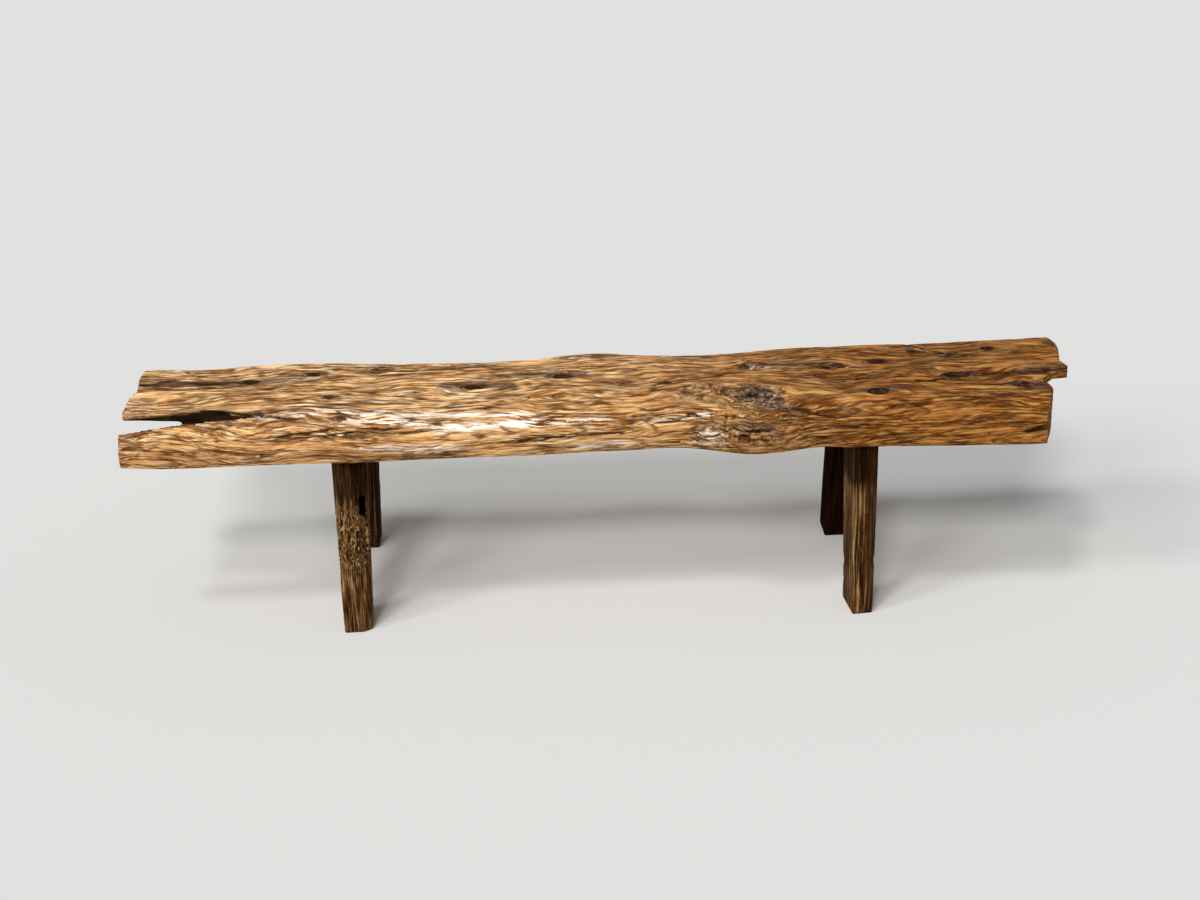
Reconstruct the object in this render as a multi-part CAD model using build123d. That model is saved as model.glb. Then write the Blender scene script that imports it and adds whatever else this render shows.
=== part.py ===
from build123d import *
import math
import os

# Rustic log bench: a thick natural-edged slab on four splayed post legs. Each leg ends in
# a blind tenon, spread and locked in the slab by two foxtail wedges that nobody sees.
# +X runs along the seat, +Y to its back, +Z up. The origin is on the floor, under the
# middle of the bench. All sizes are in millimetres.

# Seat slab
seat_height = 420.0
slab_thickness = 80.0
slab_length = 1870.0
end_waste = 15.0  # the log runs on this far past each end before the ends are shaped
underside = seat_height - slab_thickness

# Cross-section of the slab: flat underside, nearly flat top, rolled-over front
front_drop = 34.0  # height lost from the top to the front
shoulder_run = 84.0  # width of the rolled-over part
front_batter = 4.0  # the foot of the front stands back by this much
back_run = 75.0  # width of the strip along the back where the top falls away
back_fall = 5.0  # and how far it falls there
back_batter = 9.0  # the foot of the back edge stands in by this much
saw_allowance = 2.0  # cut off the bottom to make the underside flat
shoulder_radius = 140.0
crown_radius = 400.0  # where the flat top meets the falling strip
front_radius = 32.0
front_foot_radius = 14.0
back_foot_radius = 12.0
back_radius = 11.0

# Natural edges: distance from the centre line at evenly spaced stations, left to right
front_edge = [183, 192, 193, 189, 186, 185, 184, 178, 174, 172, 167, 159,
              154, 156, 186, 184, 164, 169, 171, 173, 175, 171, 170]
back_edge = [147, 159, 161, 174, 179, 176, 167, 163, 161, 168, 185, 196,
             179, 172, 177, 193, 203, 207, 207, 210, 217, 222, 219]

# Broken ends: how far each point lies in from the end, and its Y
left_end = [(9, -240), (9, -182), (6, -150), (12, -116), (3, -90), (2, -12), (9, 28),
            (8, 41), (1, 95), (0, 136), (8, 240)]
right_end = [(86, -240), (82, -160), (66, -112), (56, -74), (60, -46), (67, -26), (42, 4),
             (8, 18), (2, 44), (12, 72), (0, 142), (0, 178), (4, 206), (12, 240)]

# Split at the left end, open through the slab: distance in from the end, and Y
split_front_side = [(-20, -151), (76, -139), (166, -125), (278, -112)]
split_back_side = [(221, -103), (200, -87), (156, -82), (101, -100), (31, -109), (-20, -113)]

# The rotted hollow under the lip behind the split
hollow_depth = 118.0  # how far in from the end it goes
hollow_front_y = -130.0
lip_y = -107.0
lip_at_end = 7.0  # thickness of the lip at the end of the slab
lip_inside = 15.0  # and where the hollow stops
hollow_back_y = 85.0  # where the hollow meets the underside

# The break under the finger at the right end
break_depth = 60.0
break_front_y = -60.0
finger_y = 6.0
finger_tip = 12.0  # thickness of the finger at its tip
finger_root = 16.0  # and at its root
break_back_y = 182.0

# Hollow of the big knot, and the small rotted pockets: place, length, width, depth, turn
knot_hollow = (277, -58, 92, 70, 13, -24)
pockets = [
    (463, 74, 46, 34, 6, 0),
    (539, -66, 44, 30, 9, 0),
    (556, 90, 60, 20, 7, 4),
    (649, 154, 52, 40, 7, 12),
    (699, 8, 60, 30, 10, 10),
    (733, 123, 66, 24, 8, 14),
    (791, 152, 30, 22, 7, 0),
    (-82, 55, 64, 24, 6, 0),
    (-250, 4, 46, 20, 6, -4),
    (-574, 94, 56, 22, 6, 6),
    (-698, 58, 62, 26, 6, -4),
    (302, 84, 44, 32, 8, 20),
    (825, -49, 40, 28, 5, 0),
    (37, 9, 30, 14, 5, 0),
]

# Weather checks and worn furrows along the grain: the way each opens (0 up, 90 to the
# front), its opening angle, and the points of its bottom as X, Y and drop below the top
weather_checks = [
    (28, 60, [(-700, -173, 25), (-598, -160, 28), (-511, -145, 22), (-435, -149, 25),
              (-320, -142, 17)]),
    (30, 60, [(-680, -179, 30), (-577, -169, 33), (-483, -156, 28), (-387, -159, 30),
              (-250, -144, 20)]),
    (85, 70, [(-270, -175, 52), (-158, -164, 46), (-82, -158, 44), (-5, -151, 42),
              (70, -153, 39)]),
    (25, 70, [(70, -140, 27), (155, -126, 28), (169, -116, 23), (225, -136, 18)]),
    (20, 60, [(340, -118, 14), (390, -119, 18), (456, -127, 21), (570, -127, 14)]),
    (75, 60, [(790, -176, 53), (824, -166, 48), (870, -160, 41)]),
    (55, 90, [(395, -159, 37), (440, -152, 36), (520, -158, 38), (620, -168, 36)]),
    (90, 90, [(570, -176, 62), (650, -169, 58), (740, -170, 53), (815, -176, 49)]),
    (90, 100, [(-890, -196, 50), (-820, -189, 46), (-740, -187, 50), (-660, -183, 58),
               (-590, -190, 64)]),
    (0, 70, [(440, -6, -1), (511, 2, 4), (560, 11, -1)]),
    (0, 70, [(563, -19, -1), (652, -16, 4), (705, -4, 3)]),
    (0, 90, [(725, 3, 3), (780, 13, 5), (833, 13, 6), (911, 24, 6), (950, 26, 6)]),
    (20, 70, [(-660, -110, 10), (-610, -116, 9), (-540, -122, 4)]),
    (0, 110, [(-950, 60, 3), (-860, 61, 5), (-780, 54, 4), (-690, 64, -1)]),
    (0, 120, [(-530, 120, 0), (-420, 125, 6), (-300, 128, 6), (-170, 124, 0)]),
    (0, 120, [(-500, 102, -1), (-400, 107, 4), (-300, 108, 4), (-160, 98, -1)]),
    (0, 120, [(-490, 84, -1), (-380, 87, 4), (-280, 84, -1)]),
    (0, 120, [(-400, 143, 2), (-280, 146, 8), (-150, 150, 2)]),
    (0, 120, [(60, 34, -1), (130, 24, 4), (205, 30, -1)]),
    (0, 120, [(-120, -30, -1), (-20, -40, 4), (80, -34, 4), (160, -14, -1)]),
    (0, 120, [(330, 20, -1), (420, 28, 4), (540, 40, -1)]),
    (0, 120, [(400, 150, 0), (500, 156, 6), (600, 178, 1)]),
]

# Legs: centre of the sole, centre under the slab, size of each (width, depth), turn about
# the vertical, and the facet on the front inner arris (width, depth)
legs = {
    "front_left": {"sole": (-488.5, -189), "seat": (-492.5, -113), "turn": 3,
                   "sole_size": (55, 76), "seat_size": (67, 76), "facet": (17, 11)},
    "front_right": {"sole": (496.5, -161), "seat": (503, -101), "turn": 8,
                    "sole_size": (42, 78), "seat_size": (52, 78), "facet": None},
    "back_left": {"sole": (-506, 182), "seat": (-490, 96), "turn": 0,
                  "sole_size": (56, 68), "seat_size": (62, 70), "facet": None},
    "back_right": {"sole": (489.5, 191), "seat": (495.5, 114), "turn": 2,
                   "sole_size": (52, 73), "seat_size": (58, 74), "facet": None},
}
arris_radius = 4.0
sole_chamfer = 2.5

# The old slot in the facet of the front left leg
slot_width = 12.0
slot_height = 39.0
slot_depth = 45.0
slot_centre_z = 244.0
slot_wall = 3.0  # wood left between the slot and the inner face

# Tenon, saw kerfs and wedges
tenon_width = 34.0
tenon_depth = 50.0
tenon_length = 56.0
mortise_play = 0.2
kerf_width = 1.5
kerf_offset = 8.5  # kerf centre from the middle of the tenon
kerf_length = 46.0
wedge_length = 40.0
wedge_proud = 2.0  # the wedge heads stand this far past the tenon and meet the mortise floor
tenon_spread = 2.0  # each wedge opens its kerf by this much

tenon_top = underside + tenon_length
mortise_floor = tenon_top + wedge_proud
wedge_tip = mortise_floor - wedge_length
kerf_root = tenon_top - kerf_length
kerf_inner = kerf_offset - kerf_width / 2
kerf_outer = kerf_offset + kerf_width / 2

left_x = -slab_length / 2
right_x = slab_length / 2
beyond = 20.0  # cutting tools run this far past the wood


def slab_section(x, front, back):
    foot = underside - saw_allowance
    corners = [
        (-front + front_batter, foot),
        (-front, seat_height - front_drop),
        (-front + shoulder_run, seat_height),
        (back - back_run, seat_height),
        (back, seat_height - back_fall),
        (back - back_batter, foot),
    ]
    radii = [front_foot_radius, front_radius, shoulder_radius,
             crown_radius, back_radius, back_foot_radius]
    outline = FilletPolyline(*corners, radius=radii, close=True)
    return Plane.YZ.offset(x) * make_face(outline)


def log_slab():
    spans = len(front_edge) - 1
    start = left_x - end_waste
    pitch = (slab_length + 2 * end_waste) / spans
    sections = []
    for station, (front, back) in enumerate(zip(front_edge, back_edge)):
        sections.append(slab_section(start + station * pitch, front, back))
    return split(loft(sections), Plane.XY.offset(underside), keep=Keep.TOP)


def prism(points, low, high):
    face = make_face(Polyline(*points, close=True))
    return extrude(Plane.XY.offset(low) * face, high - low)


def ends_outline():
    left = [(left_x + inset, y) for inset, y in left_end]
    right = [(right_x - inset, y) for inset, y in right_end]
    return prism(left[::-1] + right, underside - beyond, seat_height + beyond)


def left_split():
    sides = split_front_side + split_back_side
    points = [(left_x + inset, y) for inset, y in sides]
    return prism(points, underside - beyond, seat_height + beyond)


def undercut_face(x, lip, front_y, lip_y, back_y):
    # outline across the slab of the wood that is gone below a lip
    ceiling = seat_height - lip
    steepness = (ceiling - underside) / (back_y - lip_y)
    low = underside - beyond
    points = [
        (front_y, low),
        (front_y, ceiling),
        (lip_y, ceiling),
        (back_y + beyond / steepness, low),
    ]
    return Plane.YZ.offset(x) * make_face(Polyline(*points, close=True))


def hollow_under_lip():
    sides = (hollow_front_y, lip_y, hollow_back_y)
    outer = undercut_face(left_x - beyond, lip_at_end, *sides)
    inner = undercut_face(left_x + hollow_depth, lip_inside, *sides)
    return loft([outer, inner], ruled=True)


def break_under_finger():
    sides = (break_front_y, finger_y, break_back_y)
    inner = undercut_face(right_x - break_depth, finger_root, *sides)
    outer = undercut_face(right_x + beyond, finger_tip, *sides)
    return loft([inner, outer], ruled=True)


def rotted_pocket(x, y, length, width, depth, turn):
    bowl = scale(Sphere(1), (length / 2, width / 2, depth))
    return Pos(x, y, seat_height) * Rot(0, 0, turn) * bowl


def check_section(x, y, drop, facing, opening):
    # triangle across the slab, point down at the bottom of a check
    corners = [(y, seat_height - drop)]
    for side in (-1, 1):
        angle = math.radians(facing + side * opening / 2)
        corners.append((y - beyond * math.sin(angle), corners[0][1] + beyond * math.cos(angle)))
    return Plane.YZ.offset(x) * make_face(Polyline(*corners, close=True))


def weather_check(facing, opening, bottom):
    sections = [check_section(*point, facing, opening) for point in bottom]
    return loft(sections, ruled=True)


def axis_point(leg, z):
    share = z / underside
    x = leg["sole"][0] + share * (leg["seat"][0] - leg["sole"][0])
    y = leg["sole"][1] + share * (leg["seat"][1] - leg["sole"][1])
    return x, y


def level_cut(leg, z, left, right, depth):
    # horizontal slice of a splayed piece, between two offsets across the leg's axis
    x, y = axis_point(leg, z)
    place = Pos(x, y, z) * Rot(0, 0, leg["turn"])
    return place * Pos((left + right) / 2, 0) * Rectangle(right - left, depth)


def splayed_block(leg, low, low_sides, low_depth, high, high_sides, high_depth):
    lower = level_cut(leg, low, *low_sides, low_depth)
    upper = level_cut(leg, high, *high_sides, high_depth)
    return loft([lower, upper], ruled=True)


def half_spread(z):
    # half the tenon's width at a height, opened by the wedges above their tips
    opened = max(0.0, (z - wedge_tip) / (tenon_top - wedge_tip))
    return tenon_width / 2 + tenon_spread * opened


def tenon_shape(leg, top, play):
    depth = tenon_depth + 2 * play
    root = half_spread(wedge_tip) + play
    crown = half_spread(top) + play
    straight = splayed_block(leg, underside, (-root, root), depth, wedge_tip, (-root, root), depth)
    opened = splayed_block(leg, wedge_tip, (-root, root), depth, top, (-crown, crown), depth)
    return straight + opened


def wedge_shape(leg, side, top):
    opening = half_spread(top) - half_spread(wedge_tip)
    tip_sides = sorted((side * kerf_inner, side * kerf_outer))
    head_sides = sorted((side * kerf_inner, side * (kerf_outer + opening)))
    return splayed_block(leg, wedge_tip, tip_sides, tenon_depth, top, head_sides, tenon_depth)


def saw_kerf(leg, side):
    sides = sorted((side * kerf_inner, side * kerf_outer))
    depth = tenon_depth + 2 * beyond
    return splayed_block(leg, kerf_root, sides, depth, wedge_tip, sides, depth)


def opened_kerf(leg, side):
    opening = half_spread(mortise_floor) - half_spread(wedge_tip)
    tip_sides = sorted((side * kerf_inner, side * kerf_outer))
    head_sides = sorted((side * kerf_inner, side * (kerf_outer + opening)))
    depth = tenon_depth + 2 * beyond
    return splayed_block(leg, wedge_tip, tip_sides, depth, mortise_floor, head_sides, depth)


def half_width(leg, z):
    share = z / underside
    return (leg["sole_size"][0] + share * (leg["seat_size"][0] - leg["sole_size"][0])) / 2


def post_section(leg, z, size):
    half, depth = size[0] / 2, size[1] / 2
    wane, cut = leg["facet"] or (0, 0)
    corners = [(-half, -depth), (half - wane, -depth), (half, cut - depth),
               (half, depth), (-half, depth)]
    if not wane:
        corners.pop(1)
    x, y = axis_point(leg, z)
    return Pos(x, y, z) * Rot(0, 0, leg["turn"]) * make_face(Polyline(*corners, close=True))


def post(leg):
    sections = [post_section(leg, 0, leg["sole_size"]),
                post_section(leg, underside, leg["seat_size"])]
    body = loft(sections, ruled=True)
    arrises = body.edges().filter_by(lambda edge: edge.length > underside / 2)
    body = fillet(arrises, arris_radius)
    sole_edges = body.faces().sort_by(Axis.Z)[0].edges()
    return chamfer(sole_edges, sole_chamfer)


def old_slot(leg):
    x, y = axis_point(leg, slot_centre_z)
    x += half_width(leg, slot_centre_z) - slot_wall - slot_width / 2
    face_y = y - leg["seat_size"][1] / 2
    shape = Rot(0, 0, 90) * SlotOverall(slot_height, slot_width)
    cut = extrude(Plane.XZ * shape, slot_depth + beyond)
    return Pos(x, face_y + slot_depth, slot_centre_z) * cut


def make_leg(leg):
    body = post(leg) + tenon_shape(leg, tenon_top, 0)
    for side in (-1, 1):
        body -= saw_kerf(leg, side)
        body -= opened_kerf(leg, side)
    return body


def make_slab():
    body = log_slab() & ends_outline()
    body -= left_split()
    body -= hollow_under_lip()
    body -= break_under_finger()
    body -= rotted_pocket(*knot_hollow)
    for pocket in pockets:
        body -= rotted_pocket(*pocket)
    for check in weather_checks:
        body -= weather_check(*check)
    for leg in legs.values():
        body -= tenon_shape(leg, mortise_floor, mortise_play)
    return body


os.makedirs("parts", exist_ok=True)
export_step(make_slab(), "parts/seat_slab.step")
for name, leg in legs.items():
    body = make_leg(leg)
    if name == "front_left":
        body -= old_slot(leg)
    export_step(body, f"parts/{name}_leg.step")
    for place, side in (("left", -1), ("right", 1)):
        wedge = wedge_shape(leg, side, mortise_floor)
        export_step(wedge, f"parts/{name}_wedge_{place}.step")
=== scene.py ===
import math

import bpy
import numpy as np
from mathutils import Matrix, Vector
from mathutils.bvhtree import BVHTree


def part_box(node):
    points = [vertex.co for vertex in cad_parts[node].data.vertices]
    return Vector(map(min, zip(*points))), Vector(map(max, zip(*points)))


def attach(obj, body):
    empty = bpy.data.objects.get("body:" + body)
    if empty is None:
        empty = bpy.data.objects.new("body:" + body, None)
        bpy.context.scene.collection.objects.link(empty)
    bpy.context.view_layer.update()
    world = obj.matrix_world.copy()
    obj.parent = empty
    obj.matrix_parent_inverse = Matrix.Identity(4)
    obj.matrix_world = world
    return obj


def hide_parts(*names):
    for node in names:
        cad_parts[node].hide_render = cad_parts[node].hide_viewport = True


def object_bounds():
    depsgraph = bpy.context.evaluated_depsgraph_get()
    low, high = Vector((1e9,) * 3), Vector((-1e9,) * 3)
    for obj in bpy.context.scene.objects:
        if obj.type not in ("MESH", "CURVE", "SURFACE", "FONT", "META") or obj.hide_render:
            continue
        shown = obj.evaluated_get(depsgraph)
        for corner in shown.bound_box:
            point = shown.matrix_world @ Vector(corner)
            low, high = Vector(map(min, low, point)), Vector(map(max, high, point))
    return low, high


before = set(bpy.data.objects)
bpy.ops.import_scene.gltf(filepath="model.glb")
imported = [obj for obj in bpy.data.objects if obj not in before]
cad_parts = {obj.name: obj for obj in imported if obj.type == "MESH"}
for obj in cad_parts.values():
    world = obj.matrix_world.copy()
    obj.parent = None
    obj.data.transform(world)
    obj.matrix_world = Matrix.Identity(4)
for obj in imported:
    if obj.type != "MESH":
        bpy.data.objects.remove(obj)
cadLow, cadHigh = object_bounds()
print("frame loaded,", len(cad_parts), "nodes")

toMetres = 0.001  # sizes below are in millimetres unless a note says otherwise
pageGrey = (225, 225, 223)


def tint(red, green, blue):
    # screen colour, 0 to 255, as the linear colour that sockets take
    parts = []
    for value in (red, green, blue):
        share = value / 255
        parts.append(share / 12.92 if share <= 0.04045 else ((share + 0.055) / 1.055) ** 2.4)
    return (*parts, 1.0)


def painted(colours):
    # single colours, and ramps of (place, colour), as sockets take them
    return {
        name: [(place, tint(*colour)) for place, colour in value] if isinstance(value, list)
        else tint(*value) for name, value in colours.items()}


def latticeNoise(spots, seed):
    # smooth seeded hills, about -1 to 1, one lattice cell for each unit of the spots
    many = 4096  # slopes to pick from
    slopes = np.random.default_rng(seed).normal(size=(many, 3))
    slopes /= np.linalg.norm(slopes, axis=1)[:, None]
    corner = np.floor(spots).astype(np.int64)
    inside = spots - corner
    fade = inside ** 3 * (inside * (inside * 6 - 15) + 10)
    total = np.zeros(len(spots))
    for step in np.ndindex(2, 2, 2):
        cell = corner + np.array(step)
        pick = (cell[:, 0] * 73856093 ^ cell[:, 1] * 19349663 ^ cell[:, 2] * 83492791) & (many - 1)
        share = np.prod(np.where(np.array(step) == 1, fade, 1 - fade), axis=1)
        total += share * np.einsum("ij,ij->i", slopes[pick], inside - np.array(step))
    return np.clip(total * 1.7, -1, 1)


def hills(spots, size, seed, layers=1, gain=0.5):
    # hills of the given size, with finer and lower ones on them for each further layer
    total, weight, strength = 0.0, 0.0, 1.0
    for layer in range(layers):
        total = total + strength * latticeNoise(spots / size * 2 ** layer + 31.7 * layer, seed + layer)
        weight += strength
        strength *= gain
    return total / weight


def ease(values, low, high):
    # 0 below low, 1 above high, smooth between
    share = np.clip((values - low) / (high - low), 0, 1)
    return share * share * (3 - 2 * share)


def creases(spots, size, seed, sharpness):
    # 1 along thin lines where the hills cross zero, falling to 0 beside them
    return np.clip(1 - np.abs(hills(spots, size, seed)) * sharpness, 0, 1)


def sideways(spots, size, seeds, reach):
    # a smooth shift along one axis for each seed
    return np.stack([hills(spots, size, seed) for seed in seeds], 1) * reach


def within(spots, low, high):
    return np.all((spots > low) & (spots < high), axis=1)


def distanceToPath(spots, path):
    # distance from every spot to a run of straight pieces, and how far along it is, 0 to 1
    best = np.full(len(spots), 1e9)
    along = np.zeros(len(spots))
    runs = len(path) - 1
    for index in range(runs):
        start, run = path[index], path[index + 1] - path[index]
        share = np.clip((spots - start) @ run / (run @ run), 0, 1)
        gap = np.linalg.norm(spots - start - share[:, None] * run, axis=1)
        nearer = gap < best
        best[nearer] = gap[nearer]
        along[nearer] = (index + share[nearer]) / runs
    return best, along


def readVertices(mesh):
    values = np.empty(len(mesh.vertices) * 3)
    mesh.vertices.foreach_get("co", values)
    return values.reshape(-1, 3)


def readNormals(mesh):
    values = np.empty(len(mesh.vertices) * 3)
    mesh.vertex_normals.foreach_get("vector", values)
    return values.reshape(-1, 3)


def writeVertices(mesh, spots):
    mesh.vertices.foreach_set("co", spots.ravel())
    mesh.update()


def writeField(mesh, name, values):
    # a value or a vector for each vertex, which the finishes read by name
    kind, key = ("FLOAT_VECTOR", "vector") if values.ndim == 2 else ("FLOAT", "value")
    mesh.attributes.new(name, kind, "POINT").data.foreach_set(key, values.ravel())


def evenMesh(nodeName, pieceName, voxel, squeeze):
    # the solid again as an even net of small faces, longer along the squeezed axes
    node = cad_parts[nodeName]
    mesh = node.data.copy()
    mesh.transform(Matrix.Diagonal((*squeeze, 1)))
    piece = bpy.data.objects.new(pieceName, mesh)
    bpy.context.scene.collection.objects.link(piece)
    weld = piece.modifiers.new("weld", "WELD")
    weld.merge_threshold = 0.00001  # metres
    remesh = piece.modifiers.new("remesh", "REMESH")
    remesh.mode = "VOXEL"
    remesh.voxel_size = voxel * toMetres
    graph = bpy.context.evaluated_depsgraph_get()
    even = bpy.data.meshes.new_from_object(piece.evaluated_get(graph))
    piece.modifiers.clear()
    even.transform(Matrix.Diagonal((*[1 / part for part in squeeze], 1)))
    even.name = pieceName
    even.materials.clear()
    piece.data = even
    bpy.data.meshes.remove(mesh)
    even.shade_smooth()
    return piece


def solidTree(nodeName):
    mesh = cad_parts[nodeName].data
    spots = readVertices(mesh) / toMetres
    return BVHTree.FromPolygons([tuple(s) for s in spots], [tuple(p.vertices) for p in mesh.polygons])


def woodBehind(tree, spots, normals, reach=60):
    # how much wood lies straight in from each spot
    depth = np.full(len(spots), float(reach))
    inward = spots - normals * 1.2
    for index in range(len(spots)):
        found = tree.ray_cast(Vector(inward[index]), Vector(-normals[index]), reach)
        if found[0] is not None:
            depth[index] = found[3]
    return depth


def keepInside(spots, nodeName):
    low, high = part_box(nodeName)
    return np.clip(spots, np.array(low), np.array(high))


def unroll(mesh, axis, bottom, top, sizes):
    # a map of the piece: skin round its long axis, inner walls and ends apart
    margin, lap = 0.01, 0.05
    spots = readVertices(mesh)
    other = [index for index in range(3) if index != axis]
    share = (spots[:, axis] - bottom[axis]) / (top[axis] - bottom[axis])
    middle = bottom + share[:, None] * (top - bottom)
    arm = spots - middle
    angle = np.arctan2(arm[:, other[0]], arm[:, other[1]]) / (2 * math.pi)
    length = (spots[:, axis] - spots[:, axis].min()) / np.ptp(spots[:, axis])
    starts = np.empty(len(mesh.polygons), int)
    mesh.polygons.foreach_get("loop_start", starts)
    totals = np.empty(len(mesh.polygons), int)
    mesh.polygons.foreach_get("loop_total", totals)
    corners = np.empty(len(mesh.loops), int)
    mesh.loops.foreach_get("vertex_index", corners)
    facing = np.empty(len(mesh.polygons) * 3)
    mesh.polygons.foreach_get("normal", facing)
    facing = facing.reshape(-1, 3)
    owner = np.repeat(np.arange(len(starts)), totals)
    first = corners[starts]
    outward = np.einsum("ij,ij->i", facing, arm[first])
    isEnd = (np.abs(facing[:, axis]) > 0.8)[owner]
    isInner = (outward < 0)[owner] & ~isEnd
    turn = angle[corners] + 0.5
    wraps = np.abs(turn - turn[starts][owner]) > 0.5
    turn = np.where(wraps, turn + np.where(turn < 0.5, 1, -1), turn)
    flat = spots[corners][:, other]
    flat = (flat - flat.min(0)) / np.ptp(flat, axis=0)
    u = np.clip(length[corners], 0, 1) * (1 - 2 * margin) + margin
    lapped = (turn + lap) / (1 + 2 * lap)
    v = np.where(isInner, sizes["skin"] + margin + lapped * sizes["inner"], lapped * sizes["skin"])
    endStart = sizes["skin"] + sizes["inner"] + 2 * margin
    endSide = 1 - endStart - margin
    farEnd = (facing[:, axis] > 0)[owner]
    u = np.where(isEnd, np.where(farEnd, 0.5, 0.0) + margin + flat[:, 0] * (0.5 - 3 * margin), u)
    v = np.where(isEnd, endStart + flat[:, 1] * endSide, v)
    layer = mesh.uv_layers.new(name="OFBake")
    layer.data.foreach_set("uv", np.stack([u, v], 1).ravel())


class Wire:
    # a shader socket that can stand in a sum
    def __init__(self, finish, socket):
        self.finish = finish
        self.socket = socket

    def __add__(self, other):
        return self.finish.maths("ADD", self, other)

    def __sub__(self, other):
        return self.finish.maths("SUBTRACT", self, other)

    def __rsub__(self, other):
        return self.finish.maths("SUBTRACT", other, self)

    def __mul__(self, other):
        return self.finish.maths("MULTIPLY", self, other)

    def __truediv__(self, other):
        return self.finish.maths("DIVIDE", self, other)

    def __pow__(self, other):
        return self.finish.maths("POWER", self, other)

    def __rtruediv__(self, other):
        return self.finish.maths("DIVIDE", other, self)

    def __rpow__(self, other):
        return self.finish.maths("POWER", other, self)

    __radd__ = __add__
    __rmul__ = __mul__


class Finish:
    # the nodes of one material, or of the world
    def __init__(self, owner):
        owner.use_nodes = True
        self.owner = owner
        self.tree = owner.node_tree
        self.tree.nodes.clear()

    def node(self, kind, settings=None, inputs=None, output=0):
        made = self.tree.nodes.new("ShaderNode" + kind)
        for key, value in (settings or {}).items():
            if key == "stops":
                ramp = made.color_ramp
                while len(ramp.elements) < len(value):
                    ramp.elements.new(0.5)
                for element, (place, colour) in zip(ramp.elements, value):
                    element.position = place
                    element.color = colour
            else:
                setattr(made, key, value)
        for key, value in (inputs or {}).items():
            if isinstance(value, Wire):
                self.tree.links.new(value.socket, made.inputs[key])
            else:
                made.inputs[key].default_value = value
        return Wire(self, made.outputs[output]) if made.outputs else None

    def layers(self, spot, listed):
        # a noise for each listed layer, by name
        return {
            name: self.noise(self.scaled(spot, cells, shift), *rest)
            for name, (cells, shift, *rest) in listed.items()}

    def weighed(self, noises, weights):
        # the listed noises together, about 0 where each is at its middle
        terms = [(noises[name] - 0.5) * weight for name, weight in weights.items()]
        return sum(terms[1:], terms[0])

    def maths(self, operation, first, second=0.0):
        return self.node("Math", {"operation": operation}, {0: first, 1: second})

    def field(self, name, output="Fac"):
        return self.node("Attribute", {"attribute_name": name}, output=output)

    def scaled(self, spot, scale, shift=(0, 0, 0)):
        grown = self.node("VectorMath", {"operation": "MULTIPLY"}, {0: spot, 1: scale})
        return self.node("VectorMath", {"operation": "ADD"}, {0: grown, 1: shift})

    def noise(self, spot, detail=3, roughness=0.55, distortion=0):
        return self.node(
            "TexNoise", {"noise_dimensions": "3D"},
            {"Vector": spot, "Scale": 1.0, "Detail": detail, "Roughness": roughness,
             "Distortion": distortion})

    def between(self, value, low, high):
        # 0 at low and 1 at high, smooth; low may be the larger
        return self.node(
            "MapRange", {"interpolation_type": "SMOOTHSTEP"},
            {"Value": value, "From Min": low, "From Max": high, "To Min": 0.0, "To Max": 1.0})

    def blend(self, share, under, over, mode="MIX"):
        # 6 and 7 are the two colours of a Mix node, and its output 2 the mixed one
        return self.node(
            "Mix", {"data_type": "RGBA", "blend_type": mode, "clamp_factor": True},
            {0: share, 6: under, 7: over}, output=2)

    def lineOf(self, value, width):
        # 1 along the thin lines where a noise crosses its middle
        away = self.maths("ABSOLUTE", value - 0.5)
        return self.between(away, width, 0.0)

    def ramp(self, value, stops):
        return self.node("ValToRGB", {"stops": stops}, {"Fac": value})

    def bump(self, height, distance, strength):
        return self.node(
            "Bump", {}, {"Height": height, "Distance": distance * toMetres, "Strength": strength})

    def surface(self, **sockets):
        shader = self.node("BsdfPrincipled", {}, sockets)
        self.node("OutputMaterial", {}, {"Surface": shader})
        return self.owner


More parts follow.
